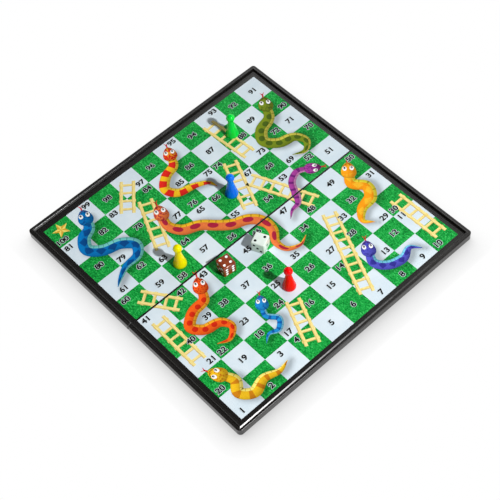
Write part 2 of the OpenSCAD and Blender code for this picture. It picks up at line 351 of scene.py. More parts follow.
def lit_paint(name, tint, spot):
    """Paint lit as a domed form, with a mottle of a second tint."""
    shader = Shader(name)
    mottle = shader.noise(1.6 * MM, detail=2)
    skin = shader.mix(shader.span(mottle, 0.5, 0.62), tint, spot)
    shader.colour_from(shader.mix(1.0, skin, shader.attribute("lit"), blend="MULTIPLY"))
    return shader.material


# Roughness of the glossy plastic, and how far light travels in it
GLOSS_ROUGH = 0.13
LIGHT_REACH = 7 * MM


def glossy_plastic(name, tint, deep, specular=0.4, depth=0.0):
    """Glossy moulded plastic, a little deeper in tone in slow clouds.

    depth is the share of light that goes into the plastic and comes out again nearby."""
    shader = Shader(name, roughness=GLOSS_ROUGH, specular=specular)
    if depth:
        shader.feed(shader.surface, {"Subsurface Weight": depth, "Subsurface Scale": LIGHT_REACH,
                                     "Subsurface Radius": (1.0, 1.0, 1.0)})
    cloud = shader.noise(6 * MM, detail=3)
    shader.colour_from(shader.mix(shader.spread(cloud), deep, tint))
    shader.rough_from(shader.spread(shader.noise(1.5 * MM, detail=4),
                                    0.8 * GLOSS_ROUGH, 1.3 * GLOSS_ROUGH))
    shader.bump(shader.noise(2 * MM, detail=2), 0.01 * MM, 0.5)
    return shader.material


# Meshes

def in_scene(name, data):
    """A new object in the scene."""
    made = bpy.data.objects.new(name, data)
    bpy.context.scene.collection.objects.link(made)
    return made


def new_object(name, mesh_data, materials):
    """An object made of a bmesh."""
    mesh = bpy.data.meshes.new(name)
    mesh_data.to_mesh(mesh)
    mesh_data.free()
    for material in materials:
        mesh.materials.append(material)
    return in_scene(name, mesh)


def final_mesh(made):
    """An object's mesh with its text or modifiers worked out."""
    bpy.context.view_layer.update()
    graph = bpy.context.evaluated_depsgraph_get()
    return bpy.data.meshes.new_from_object(made.evaluated_get(graph))


def make_piece(name, mesh_data, materials, body):
    """Turns a bmesh into a piece that rides on a body."""
    piece = new_object(name, mesh_data, materials)
    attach(piece, body)
    return piece


def spline(points, steps):
    """Points on a smooth curve through the given ones, with the steps between each pair."""
    ends = [2 * points[0] - points[1]] + list(points) + [2 * points[-1] - points[-2]]
    curve = []
    for i in range(1, len(ends) - 2):
        a, b, c, d = ends[i - 1:i + 3]
        for k in range(steps):
            t = k / steps
            curve.append(0.5 * (2 * b + (c - a) * t + (2 * a - 5 * b + 4 * c - d) * t ** 2
                                + (3 * b - a - 3 * c + d) * t ** 3))
    curve.append(points[-1])
    return curve


# The print, drawn in squares

# Direction of the light in the painted figures, how light their shade is, and what the light adds
PAINT_LIGHT = Vector((-0.55, 0.45, 0.7)).normalized()
PAINT_SHADE = 0.52
PAINT_LIT = 0.6


def painted_light(normal):
    """How light the paint is where a painted form faces along the normal."""
    return PAINT_SHADE + PAINT_LIT * max(0.0, normal.dot(PAINT_LIGHT))


class Drawing:
    """Flat figures in squares, with the attributes that their materials read."""

    FLOATS = ("along", "across", "lit", "bar")
    DOME_RINGS = 6

    def __init__(self):
        self.mesh = bmesh.new()
        self.layers = {name: self.mesh.verts.layers.float.new(name) for name in self.FLOATS}
        self.materials = []

    def point(self, place, level, **values):
        """A point of the drawing on one of the print's layers."""
        vertex = self.mesh.verts.new((place[0], place[1], level * LAYER))
        vertex[self.layers["lit"]] = 1.0
        for name, value in values.items():
            vertex[self.layers[name]] = value
        return vertex

    def face(self, vertices, material):
        """A face in a material, which joins the drawing's list."""
        if material not in self.materials:
            self.materials.append(material)
        self.mesh.faces.new(vertices).material_index = self.materials.index(material)

    def ribbon(self, centres, radii, level, material, strips=8, **same):
        """A strip of varying width along a curve, with the attributes of a round body."""
        rows = []
        along = 0.0
        for i, centre in enumerate(centres):
            before = centres[max(i - 1, 0)]
            after = centres[min(i + 1, len(centres) - 1)]
            if i:
                along += (centre - before).length
            side = (after - before).normalized().orthogonal()
            row = []
            for k in range(strips + 1):
                across = 2 * k / strips - 1
                normal = Vector((side.x * across, side.y * across,
                                 math.sqrt(max(0.0, 1 - across ** 2))))
                lit = painted_light(normal)
                row.append(self.point(centre + side * across * radii[i], level,
                                      along=along, across=across, lit=lit, **same))
            rows.append(row)
        for first, second in zip(rows, rows[1:]):
            for k in range(strips):
                self.face((first[k], second[k], second[k + 1], first[k + 1]), material)

    def dome(self, centre, forward, outline, level, material):
        """A flat figure inside an outline about its centre, lit as a dome."""
        side = forward.orthogonal()
        middle = self.point(centre, level, lit=painted_light(Vector((0, 0, 1))))
        last = None
        for ring in range(1, self.DOME_RINGS + 1):
            share = ring / self.DOME_RINGS
            row = []
            for x, y in outline:
                flat = (forward * x + side * y).normalized() * share
                normal = Vector((flat.x, flat.y, math.sqrt(max(0.0, 1 - share ** 2))))
                lit = painted_light(normal)
                row.append(self.point(centre + (forward * x + side * y) * share, level, lit=lit))
            for k in range(len(row)):
                after = (k + 1) % len(row)
                if last is None:
                    self.face((middle, row[k], row[after]), material)
                else:
                    self.face((last[k], row[k], row[after], last[after]), material)
            last = row

    def shape(self, centre, forward, outline, level, material):
        """A plain flat figure inside an outline about its centre."""
        side = forward.orthogonal()
        self.face([self.point(centre + forward * x + side * y, level) for x, y in outline],
                  material)


def oval(half_length, half_width, count):
    """Outline of an oval."""
    turns = [math.tau * k / count for k in range(count)]
    return [(half_length * math.cos(a), half_width * math.sin(a)) for a in turns]


class Snake:
    """A snake of the print: its course from head to tail, its thickness and its skin.

    The head's parts are placed by how far ahead of its middle and to the side they are, and sized
    by half length and half width, all in the head's own size. A third number counts the points."""

    CURVE_STEPS = 8
    HEAD_SIZE = 0.165
    HEAD_GROWTH = 0.35
    HEAD_AHEAD = 0.3
    HEAD = (1.45, 1.08)
    HEAD_POINTS = 32
    JAW_SPREAD = 0.28
    TONGUE_ROOT = 1.2
    TONGUE_LENGTH = 0.7
    TONGUE_HALF = 0.11
    TINE = (0.45, 0.3)
    TINE_HALVES = (0.1, 0.03)
    EYE_PLACE = (0.35, 0.52)
    EYE = (0.4, 0.31, 20)
    PUPIL_AHEAD = 0.12
    PUPIL = (0.2, 0.15, 16)
    GLINT_PLACE = (-0.03, 0.06)
    GLINT = (0.06, 0.05, 12)
    NOSTRIL_PLACE = (1.0, 0.24)
    NOSTRIL = (0.08, 0.05, 12)
    SMILE_AHEAD = 0.2
    SMILE = (1.0, 0.78)
    SMILE_TURNS = range(-60, 61, 6)
    SMILE_HALF = 0.035

    # Thickness of the neck, lengths of neck and tail as shares of the snake's, how the tail
    # tapers, and its thinnest half width in squares
    NECK = 0.72
    NECK_END = 0.18
    TAIL_LENGTH = 0.45
    TAIL_POWER = 0.75
    TAIL_TIP = 0.012

    def __init__(self, course, radius, skin, head):
        self.radius = radius
        self.curve = spline([Vector(p) for p in course], self.CURVE_STEPS)
        self.skin = skin
        self.head = head
        last = len(self.curve) - 1
        self.radii = [self.thickness(i / last) for i in range(last + 1)]

    def thickness(self, share):
        """Thin at the neck, full over the body, tapering over the tail."""
        neck = self.NECK + (1 - self.NECK) * min(1.0, share / self.NECK_END)
        tail = min(1.0, (1 - share) / self.TAIL_LENGTH) ** self.TAIL_POWER
        return max(self.TAIL_TIP, self.radius * neck * tail)

    def head_outline(self, size):
        """Outline of the head from above: broad at the jaws, blunt at the snout."""
        points = []
        for k in range(self.HEAD_POINTS):
            a = math.tau * k / self.HEAD_POINTS
            spread = 1 - self.JAW_SPREAD * math.cos(a)
            points.append((self.HEAD[0] * size * math.cos(a),
                           self.HEAD[1] * size * math.sin(a) * spread))
        return points

    def draw(self, drawing, paints):
        """The body and the head with its tongue, eyes, nostrils and mouth."""
        drawing.ribbon(self.curve, self.radii, SNAKE_LAYER, self.skin)
        forward = (self.curve[0] - self.curve[2]).normalized()
        side = forward.orthogonal()
        size = self.HEAD_GROWTH * self.radius + self.HEAD_SIZE
        centre = self.curve[0] + forward * self.HEAD_AHEAD * size

        def moved(start, place, way=1):
            return start + (forward * place[0] + side * place[1] * way) * size

        def spot(start, shape, level, paint):
            half_length, half_width, count = shape
            drawing.shape(start, forward, oval(half_length * size, half_width * size, count),
                          level, paints[paint])

        tongue = [moved(centre, (self.TONGUE_ROOT, 0)),
                  moved(centre, (self.TONGUE_ROOT + self.TONGUE_LENGTH, 0))]
        drawing.ribbon(tongue, [self.TONGUE_HALF * size] * 2, SNAKE_LAYER, paints["tongue_red"],
                       strips=2)
        for way in (-1, 1):
            tine = [tongue[1], moved(tongue[1], self.TINE, way)]
            drawing.ribbon(tine, [half * size for half in self.TINE_HALVES], SNAKE_LAYER,
                           paints["tongue_red"], strips=2)
        drawing.dome(centre, forward, self.head_outline(size), HEAD_LAYER, self.head)
        for way in (-1, 1):
            eye = moved(centre, self.EYE_PLACE, way)
            pupil = moved(eye, (self.PUPIL_AHEAD, 0))
            spot(eye, self.EYE, EYE_LAYER, "eye_white")
            spot(pupil, self.PUPIL, PUPIL_LAYER, "pupil_black")
            spot(moved(pupil, self.GLINT_PLACE), self.GLINT, GLINT_LAYER, "eye_white")
            spot(moved(centre, self.NOSTRIL_PLACE, way), self.NOSTRIL, EYE_LAYER, "pupil_black")
        smile = []
        for a in map(math.radians, self.SMILE_TURNS):
            ahead = self.SMILE_AHEAD + self.SMILE[0] * math.cos(a)
            smile.append(moved(centre, (ahead, self.SMILE[1] * math.sin(a))))
        drawing.ribbon(smile, [self.SMILE_HALF * size] * len(smile), EYE_LAYER,
                       paints["mouth_brown"], strips=2)


class Ladder:
    """A ladder of the print between two places, its rungs passing under its rails.

    Sizes are in squares: half widths of rail, rung and ladder, the rungs' spacing and how far
    they stand out. Each bar's own number gives it its own grain."""

    RAIL = 0.06
    RUNG = 0.052
    HALF_WIDTH = 0.22
    RUNG_PITCH = 0.34
    OVERHANG = 0.08
    FEWEST_RUNGS = 3
    RAIL_STEPS = 4
    BAR_STRIPS = 4

    def __init__(self, foot, top, number):
        self.foot = Vector(foot)
        self.top = Vector(top)
        self.number = number

    def draw(self, drawing, wood):
        run = self.top - self.foot
        forward = run.normalized()
        side = forward.orthogonal()
        count = max(self.FEWEST_RUNGS, round(run.length / self.RUNG_PITCH))
        wide = side * (self.HALF_WIDTH + self.OVERHANG)
        for k in range(count):
            middle = self.foot + run * (k + 0.5) / count
            drawing.ribbon([middle - wide, middle + wide], [self.RUNG] * 2, RUNG_LAYER, wood,
                           strips=self.BAR_STRIPS, bar=self.number + 0.1 * k)
        for way in (-1, 1):
            offset = side * self.HALF_WIDTH * way
            rail = [self.foot + offset + run * k / self.RAIL_STEPS
                    for k in range(self.RAIL_STEPS + 1)]
            drawing.ribbon(rail, [self.RAIL] * len(rail), RAIL_LAYER, wood,
                           strips=self.BAR_STRIPS, bar=self.number + 0.5 * way)


# Each snake's course from head to tail, in squares
SNAKES = (
    ("teal", 0.235,
     ((1.4, 9.36), (1.24, 8.96), (0.85, 8.75), (0.62, 8.3), (1.0, 7.9), (1.6, 7.7), (1.95, 7.3),
      (1.7, 6.92), (1.15, 6.85), (0.7, 6.62), (0.4, 6.4))),
    ("red", 0.19,
     ((5.34, 9.38), (5.12, 8.95), (4.6, 8.75), (4.22, 8.35), (4.45, 7.92), (5.05, 7.75),
      (5.5, 7.5), (5.62, 7.15))),
    ("olive", 0.225,
     ((9.35, 8.62), (9.03, 8.12), (8.45, 7.9), (8.15, 7.45), (8.5, 7.02), (9.05, 6.85),
      (9.25, 6.42), (8.9, 6.12), (8.45, 6.3))),
    ("orange", 0.225,
     ((3.4, 7.62), (3.25, 7.1), (3.5, 6.62), (4.05, 6.35), (4.45, 5.95), (4.85, 5.6), (5.4, 5.35),
      (5.72, 4.95), (5.7, 4.5), (5.42, 4.05), (5.5, 3.6), (5.95, 3.4), (6.35, 3.55))),
    ("purple", 0.135,
     ((8.48, 5.4), (8.05, 5.64), (7.6, 5.45), (7.35, 5.05), (7.1, 4.7), (6.75, 4.62),
      (6.45, 4.4))),
    ("amber", 0.225,
     ((9.3, 4.42), (9.02, 4.0), (9.3, 3.55), (9.05, 3.12), (8.5, 2.98), (8.15, 2.62),
      (8.4, 2.28))),
    ("indigo", 0.18,
     ((7.4, 1.62), (7.16, 1.15), (7.45, 0.75), (8.0, 0.6), (8.45, 0.75), (8.75, 0.45))),
    ("flame", 0.205,
     ((2.36, 4.5), (2.1, 4.05), (1.55, 3.95), (1.1, 3.6), (1.35, 3.2), (1.9, 3.05), (2.1, 2.65),
      (1.72, 2.35), (1.3, 2.5))),
    ("sky", 0.11,
     ((3.36, 2.58), (3.16, 2.18), (3.4, 1.8), (3.1, 1.5), (2.75, 1.6), (2.45, 1.4))),
    ("gold", 0.2,
     ((0.58, 1.6), (0.8, 1.12), (0.58, 0.72), (0.95, 0.4), (1.5, 0.55), (2.05, 0.4), (2.5, 0.5))),
)

# Each ladder's foot and top, in squares
LADDERS = (
    ((3.5, 0.35), (4.2, 2.0)), ((9.62, 0.4), (9.62, 2.5)), ((6.15, 0.5), (7.55, 3.65)),
    ((0.45, 2.4), (0.5, 4.55)), ((1.45, 4.45), (0.65, 5.6)), ((7.6, 4.3), (6.6, 6.6)),
    ((5.8, 5.65), (6.65, 7.65)), ((2.5, 6.5), (3.4, 8.5)), ((7.4, 7.4), (7.25, 9.5)),
    ((2.6, 8.5), (3.5, 9.6)),
)

# Skins by name: back, marks and belly in levels as they look on screen, pattern, period and share
# of the marks, belly lines
SKINS = {
    "teal": ((0, 118, 190), (0, 74, 140), (120, 214, 206), "diamonds", 0.42, 0.9, 5.0),
    "red": ((226, 38, 26), (250, 196, 30), (250, 214, 60), "bands", 0.46, 0.42, 5.0),
    "olive": ((122, 142, 26), (74, 100, 18), (216, 206, 80), "spots", 0.36, 0.7, 5.0),
    "orange": ((238, 124, 62), (176, 32, 62), (255, 196, 40), "spots", 0.62, 0.62, 4.0),
    "purple": ((166, 60, 152), (112, 30, 116), (226, 150, 204), "bands", 0.3, 0.3, 6.0),
    "amber": ((255, 158, 12), (255, 190, 40), (250, 232, 60), "diamonds", 0.5, 0.8, 4.0),
    "indigo": ((84, 84, 196), (52, 48, 150), (120, 206, 236), "diamonds", 0.34, 0.8, 6.0),
    "flame": ((246, 98, 24), (214, 40, 14), (255, 178, 40), "spots", 0.34, 0.6, 5.0),
    "sky": ((30, 142, 214), (10, 92, 170), (130, 210, 236), "bands", 0.24, 0.35, 7.0),
    "gold": ((240, 190, 30), (206, 128, 18), (255, 236, 120), "bands", 0.4, 0.35, 5.0),
}


# The goal's star: its reach at the points and between them, in squares, and its place
STAR_POINTS = 5
STAR_R = 0.34
STAR_WAIST_R = 0.42 * STAR_R
STAR_PLACE = Vector((0.5, 0.62))


def draw_star(drawing, centre, paints):
    """The goal's star with one point up, in facets of two golds: painted light and shade of a
    bevel, one of each on every point.
    """
    middle = drawing.point(centre, SNAKE_LAYER)
    rim = []
    for k in range(2 * STAR_POINTS):
        reach = STAR_WAIST_R if k % 2 else STAR_R
        a = math.pi / 2 + math.pi * k / STAR_POINTS
        rim.append(drawing.point(centre + reach * Vector((math.cos(a), math.sin(a))),
                                 SNAKE_LAYER))
    for k in range(len(rim)):
        # Painted shade: one facet of each point in the light gold, the other in the dark gold
        paint = paints["gold_light"] if k % 2 else paints["gold_dark"]
        drawing.face((middle, rim[k], rim[(k + 1) % len(rim)]), paint)


def square_place(number):
    """Column and row of a numbered square, counting to and fro from the first row."""
    row, step = divmod(number - 1, COLUMNS)
    return (step if row % 2 == 0 else COLUMNS - 1 - step), row


# Half width that a snake's head takes up, and the spacing of a ladder's points, in squares
HEAD_ROOM = 0.33
LADDER_STEP = 0.15


def art_points(snakes, ladders):
    """Painted art that the numbers keep clear of: points with a radius."""
    points = []
    for snake in snakes:
        points += list(zip(snake.curve, snake.radii))
        points.append((snake.curve[0], HEAD_ROOM))
    for ladder in ladders:
        run = ladder.top - ladder.foot
        steps = round(run.length / LADDER_STEP)
        points += [(ladder.foot + run * k / steps, Ladder.HALF_WIDTH) for k in range(steps + 1)]
    return points


# Height of a digit, the places in a square where a number may go, best first, and the room
# that it wants there, in squares
DIGIT_H = 0.2
NUMBER_PLACES = ((0, 0), (0, 0.3), (0, -0.3), (-0.27, 0.31), (0.27, 0.31), (-0.27, -0.31),
                 (0.27, -0.31), (-0.27, 0), (0.27, 0))
NUMBER_ROOM = 0.2


def number_place(number, art):
    """Where a number goes in its square: the middle, or the place that is clearest of the art."""
    column, row = square_place(number)
    middle = Vector((column + 0.5, row + 0.5))
    best = None
    for move in NUMBER_PLACES:
        place = middle + Vector(move)
        room = min((place - centre).length - radius for centre, radius in art)
        if room > NUMBER_ROOM:
            return place
        if best is None or room > best[0]:
            best = (room, place)
    return best[1]


def text_outline(text, swell):
    """Mesh of a text in the built-in face, with its strokes swollen."""
    curve = bpy.data.curves.new("figure", "FONT")
    curve.body = text
    curve.align_x = "CENTER"
    curve.align_y = "CENTER"
    curve.offset = swell
    curve.resolution_u = DIGIT_STEPS
    figure = in_scene("figure", curve)
    mesh = final_mesh(figure)
    bpy.data.objects.remove(figure)
    bpy.data.curves.remove(curve)
    return mesh


# Swell of the digits, for a bold face, and of the halo around them, in text units, the digits'
# widening, and the steps of their curves
BOLD = 0.035
HALO = 0.075
DIGIT_WIDE = 1.15
DIGIT_STEPS = 4


def draw_numbers(drawing, art, paints):
    """The numbers of the squares, each over a white halo."""
    plain = text_outline("8", 0.0)
    rise = [vertex.co.y for vertex in plain.vertices]
    scale = DIGIT_H / (max(rise) - min(rise))
    bpy.data.meshes.remove(plain)
    for number in range(1, COLUMNS * ROWS + 1):
        place = number_place(number, art)
        for swell, level, paint in ((HALO, HALO_LAYER, "halo_white"),
                                    (BOLD, NUMBER_LAYER, "number_ink")):
            mesh = text_outline(str(number), swell)
            points = [drawing.point(place + Vector((vertex.co.x * DIGIT_WIDE, vertex.co.y))
                                    * scale, level) for vertex in mesh.vertices]
            for face in mesh.polygons:
                drawing.face([points[i] for i in face.vertices], paints[paint])
            bpy.data.meshes.remove(mesh)


def print_start(half):
    """Where the print's corner at u = v = 0 lies by a half's film."""
    low = FILM[half][0]
    start = low.y + BORDER if half == "front" else low.y - HALF_ROWS * SQUARE_D
    return low.x + BORDER, start


def on_film(u, v, half):
    """Place along and across a half's film of a point of the print."""
    x, y = print_start(half)
    shift = PRINT_SHIFT * max(0.0, 1 - v, v - (ROWS - 1))
    return x + u * SQUARE_W, y + v * SQUARE_D - shift


def standing_place(tone):
    """Where a pawn stands on the print, in squares, with its foot's radius."""
    low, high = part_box(tone + "_pawn")
    middle = (low + high) / 2
    x, y = print_start("back" if middle.y > 0 else "front")
    place = Vector(((middle.x - x) / SQUARE_W, (middle.y - y) / SQUARE_D))
    return place, (high.x - low.x) / 2 / SQUARE_W


def lay_on_film(drawing, name, half):
    """Cuts a drawing at the fold and lays one half's part on that half's film."""
    part = drawing.mesh.copy()
    keep_back = half == "back"
    bmesh.ops.bisect_plane(part, geom=part.verts[:] + part.edges[:] + part.faces[:],
                           plane_co=(0, HALF_ROWS, 0), plane_no=(0, 1, 0),
                           clear_inner=keep_back, clear_outer=not keep_back)
    for vertex in part.verts:
        u, v, rise = vertex.co
        vertex.co = (*on_film(u, v, half), FILM_TOP + rise)
    bmesh.ops.recalc_face_normals(part, faces=part.faces)
    for face in part.faces:
        if face.normal.z < 0:
            face.normal_flip()
    make_piece(half + "_" + name, part, drawing.materials, half + "_half")


# The film with its squares

# Faces of the film's top along one square
FILM_STEPS = 12

# The snakes' painted shadows: how far they are moved, how far they fade and how far up or down
# the board a body's shadow can reach, in squares, and the curve of the fading
SHADE_MOVE = Vector((0.1, -0.09))
SHADE_SOFT = 0.2
SHADE_REACH = 0.6
SHADE_POWER = 1.5

# Order of the film's materials
WHITE, GREEN, EDGE, PLAIN = range(4)


def shade_at(place, art):
    """Painted shadow at a place, from 0 for none to 1 under a snake."""
    deepest = 0.0
    for centre, radius in art:
        away = (place - centre - SHADE_MOVE).length - radius
        deepest = max(deepest, 1 - max(0.0, away) / SHADE_SOFT)
    return deepest ** SHADE_POWER


def printed_film(half, snakes, materials):
    """The film of one half: squares in a black border on top, bare at its edges and back."""
    low, high = FILM[half]
    first_row = HALF_ROWS if half == "back" else 0
    art = [(centre, radius) for snake in snakes
           for centre, radius in zip(snake.curve[::2], snake.radii[::2])]
    across = [i / FILM_STEPS for i in range(COLUMNS * FILM_STEPS + 1)]
    along = [first_row + j / FILM_STEPS for j in range(HALF_ROWS * FILM_STEPS + 1)]
    columns = [(low.x, 0.0)] + [(on_film(u, 0, half)[0], u) for u in across]
    columns.append((high.x, COLUMNS))
    rows = [(on_film(0, v, half)[1], v) for v in along]
    if half == "front":
        rows.insert(0, (low.y, 0))
    else:
        rows.append((high.y, ROWS))
    mesh = bmesh.new()
    shade = mesh.verts.layers.float.new("shade")
    grid = []
    for y, v in rows:
        near = [(c, r) for c, r in art if abs(c.y - v) < SHADE_REACH]
        line = []
        for x, u in columns:
            vertex = mesh.verts.new((x, y, high.z))
            vertex[shade] = shade_at(Vector((u, v)), near)
            line.append(vertex)
        grid.append(line)
    for j in range(len(rows) - 1):
        for i in range(len(columns) - 1):
            face = mesh.faces.new((grid[j][i], grid[j][i + 1], grid[j + 1][i + 1],
                                   grid[j + 1][i]))
            u = (columns[i][1] + columns[i + 1][1]) / 2
            v = (rows[j][1] + rows[j + 1][1]) / 2
            plain = columns[i][1] == columns[i + 1][1] or rows[j][1] == rows[j + 1][1]
            square = GREEN if (int(u) + int(v)) % 2 else WHITE
            face.material_index = PLAIN if plain else square
    rim = (grid[0] + [line[-1] for line in grid[1:]] + grid[-1][-2::-1]
           + [line[0] for line in grid[-2:0:-1]])
    foot = [mesh.verts.new((vertex.co.x, vertex.co.y, low.z)) for vertex in rim]
    for k in range(len(rim)):
        after = (k + 1) % len(rim)
        mesh.faces.new((rim[after], rim[k], foot[k], foot[after])).material_index = EDGE
    mesh.faces.new(foot[::-1]).material_index = EDGE
    piece = make_piece(half + "_film", mesh, materials, half + "_half")
    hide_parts(half + "_play_sheet")


# Pawns

# Each pawn's two tints
PAWN_TONES = {"red": (colour(255, 0, 4), colour(240, 0, 2)),
              "yellow": (colour(255, 234, 0), colour(255, 214, 0)),
              "blue": (colour(0, 124, 244), colour(0, 102, 226)),
              "green": (colour(0, 228, 72), colour(0, 204, 58))}

# A pawn's foot, the rounding of its edge, its neck and head, the hollow curve of its flank, the
# fillets at foot and neck, and how far over the neck the head's ball starts
PAWN_FOOT_H = 1.8 * MM
PAWN_EDGE_R = 0.5 * MM
PAWN_NECK_R = 2.3 * MM
PAWN_HEAD_R = 3.75 * MM
PAWN_FLANK_POWER = 1.3
PAWN_FILLET = 0.35 * MM
PAWN_HEAD_START = 0.6 * PAWN_FILLET

# Steps round the foot's edge, up the flank, over the head and round the axis
EDGE_STEPS = 6
FLANK_STEPS = 32
HEAD_STEPS = 24
PAWN_TURNS = 96

# Gap between the film and a pawn's foot
STAND_GAP = 0.02 * MM


def pawn_profile(height, base_r):
    """Outline of a pawn from the middle of its foot to the top of its head: (radius, height)."""
    head_z = height - PAWN_HEAD_R
    neck_z = head_z - math.sqrt(PAWN_HEAD_R ** 2 - PAWN_NECK_R ** 2)
    points = [(0.0, STAND_GAP)]
    for k in range(EDGE_STEPS + 1):
        a = math.radians(-90 + 90 * k / EDGE_STEPS)
        points.append((base_r - PAWN_EDGE_R + PAWN_EDGE_R * math.cos(a),
                       STAND_GAP + PAWN_EDGE_R + PAWN_EDGE_R * math.sin(a)))
    points.append((base_r, PAWN_FOOT_H - PAWN_FILLET))
    for k in range(1, FLANK_STEPS + 1):
        t = k / FLANK_STEPS
        radius = PAWN_NECK_R + (base_r - PAWN_NECK_R) * (1 - t) ** PAWN_FLANK_POWER
        points.append((radius, PAWN_FOOT_H + t * (neck_z - PAWN_FILLET - PAWN_FOOT_H)))
    start = math.asin((neck_z + PAWN_HEAD_START - head_z) / PAWN_HEAD_R)
    for k in range(HEAD_STEPS + 1):
        a = start + (math.pi / 2 - start) * k / HEAD_STEPS
        points.append((PAWN_HEAD_R * math.cos(a), head_z + PAWN_HEAD_R * math.sin(a)))
    points[-1] = (0.0, height)
    return points


def turned_pawn(tone, material):
    """A pawn turned about its own axis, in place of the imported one."""
    low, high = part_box(tone + "_pawn")
    middle = (low + high) / 2
    mesh = bmesh.new()
    profile = pawn_profile(high.z - low.z, (high.x - low.x) / 2)
    rings = []
    for radius, height in profile:
        turns = [math.tau * k / PAWN_TURNS for k in range(PAWN_TURNS if radius else 1)]
        rings.append([mesh.verts.new((middle.x + radius * math.cos(a),
                                      middle.y + radius * math.sin(a), low.z + height))
                      for a in turns])
    for first, second in zip(rings, rings[1:]):
        for k in range(PAWN_TURNS):
            after = (k + 1) % PAWN_TURNS
            around = [first[k % len(first)], first[after % len(first)],
                      second[after % len(second)], second[k % len(second)]]
            mesh.faces.new(list(dict.fromkeys(around)))
    smooth(mesh)
    piece = make_piece(tone + "_pawn_body", mesh, [material], tone + "_piece")
    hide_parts(tone + "_pawn")


# Dice

DIE_ROUND = 1.0 * MM
PIP_PITCH = 3.0 * MM
PIP_R = 1.2 * MM
PIP_DEPTH = 0.35 * MM

# Steps of the rounding, turns and rings of the balls that cut the pips, and the angle in degrees
# from which an edge is sharp
ROUND_STEPS = 6
PIP_TURNS = 32
PIP_RINGS = 48
SHARP_FROM = 30

# Turns about X, Y and Z in degrees that bring a face on top to each side of a die: top, bottom,
# right, left, back and front
FACE_TURNS = ((0, 0, 90), (180, 0, 0), (0, 90, 0), (0, -90, 0), (-90, 0, 0), (90, 0, 0))

# Each die's turn in degrees and the pips of its faces, in the order of FACE_TURNS
DICE = {"white": (24, (2, 5, 4, 3, 6, 1)), "brown": (-7, (4, 3, 2, 5, 1, 6))}


def pip_places(count):
    """Places of the pips of one face, in pitches."""
    places = [(0, 0)] if count % 2 else []
    if count > 1:
        places += [(1, 1), (-1, -1)]
    if count > 3:
        places += [(-1, 1), (1, -1)]
    if count > 5:
        places += [(1, 0), (-1, 0)]
    return places


def smooth(mesh_data):
    """Shades every face of a bmesh smoothly."""
    for face in mesh_data.faces:
        face.smooth = True


def cube_die(tone, body_material, pip_material):
    """A die with rounded edges and painted pips cut into its faces."""
    turn, counts = DICE[tone]
    low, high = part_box(tone + "_die")
    edge = high.z - low.z
    solid = bmesh.new()
    bmesh.ops.create_cube(solid, size=edge)
    bmesh.ops.bevel(solid, geom=solid.edges[:], offset=DIE_ROUND, segments=ROUND_STEPS,
                    profile=0.5, affect="EDGES")
    smooth(solid)
    body = new_object(tone + "_die_body", solid, [body_material])
    cutters = bmesh.new()
    ball_r = (PIP_R ** 2 + PIP_DEPTH ** 2) / (2 * PIP_DEPTH)
    for count, face_turn in zip(counts, FACE_TURNS):
        spin = Matrix.Identity(4)
        for axis, angle in zip("XYZ", face_turn):
            spin = Matrix.Rotation(math.radians(angle), 4, axis) @ spin
        for x, y in pip_places(count):
            place = Vector((x * PIP_PITCH, y * PIP_PITCH, edge / 2 + ball_r - PIP_DEPTH))
            bmesh.ops.create_uvsphere(cutters, u_segments=PIP_TURNS, v_segments=PIP_RINGS,
                                      radius=ball_r, matrix=spin @ Matrix.Translation(place))
    smooth(cutters)
    tool = new_object(tone + "_pips", cutters, [pip_material])
    cut = body.modifiers.new("pips", "BOOLEAN")
    cut.object = tool
    cut.operation = "DIFFERENCE"
    cut.solver = "EXACT"
    cut.material_mode = "TRANSFER"
    mesh = final_mesh(body)
    body.modifiers.clear()
    body.data = mesh
    bpy.data.objects.remove(tool)
    mesh.transform(Matrix.Translation((low + high) / 2)
                   @ Matrix.Rotation(math.radians(turn), 4, "Z"))
    mesh.set_sharp_from_angle(angle=math.radians(SHARP_FROM))
    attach(body, tone + "_cube")
    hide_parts(tone + "_die")


# The stage

FLOOR_HALF = 3.0

# Reach of the shadow painted on the floor, the lean of the light that it keeps out, its depth, and
# the rays that find it
SHADOW_REACH = 20 * MM
SHADOW_LEAN = Vector((0.55, 0.7, 0.46))
SHADOW_DEPTH = 0.62
SHADOW_RAYS = 16


def stage_floor():
    """A clear floor over the white room, tinted with the object's soft shadow, painted from how
    closed in each point is towards a leaning light.
    """
    mesh = bmesh.new()
    bmesh.ops.create_grid(mesh, x_segments=1, y_segments=1, size=FLOOR_HALF)
    shader = Shader("floor_shadow")
    lean = shader.vector(*SHADOW_LEAN.normalized())
    closed = shader.node("ShaderNodeAmbientOcclusion", {"Distance": SHADOW_REACH, "Normal": lean},
                         samples=SHADOW_RAYS)
    # Painted shadow: the clear floor darkens where the object closes it in
    tint = shader.span(closed.outputs["AO"], 0, 1, 1 - SHADOW_DEPTH, 1)
    clear = shader.node("ShaderNodeBsdfTransparent", {"Color": tint})
    shader.feed(shader.tree.nodes["Material Output"], {"Surface": clear.outputs[0]})
    new_object("floor", mesh, [shader.material])


# The key light's place, width and power
KEY_PLACE = Vector((0.195, -1.0125, 1.0665))
KEY_WIDTH = 0.075
KEY_WATTS = 22.7

# The bright panel behind the board: its edges in degrees of turn and of rise, each from dark to
# bright, and the strengths of the panel, of the room around it and of the white ground below
PANEL_TURN = ((-20, -10), (60, 52))
PANEL_RISE = ((17, 23), (57, 51))
PANEL_STRENGTH = 1.6
ROOM_STRENGTH = 0.07
GROUND_STRENGTH = 1.2

# Rise over which the ground gives way to the room, and at which the white backdrop that shows in
# reflections fades out
HORIZON = (-2, 0)
BACKDROP_TOP = (15, 27)


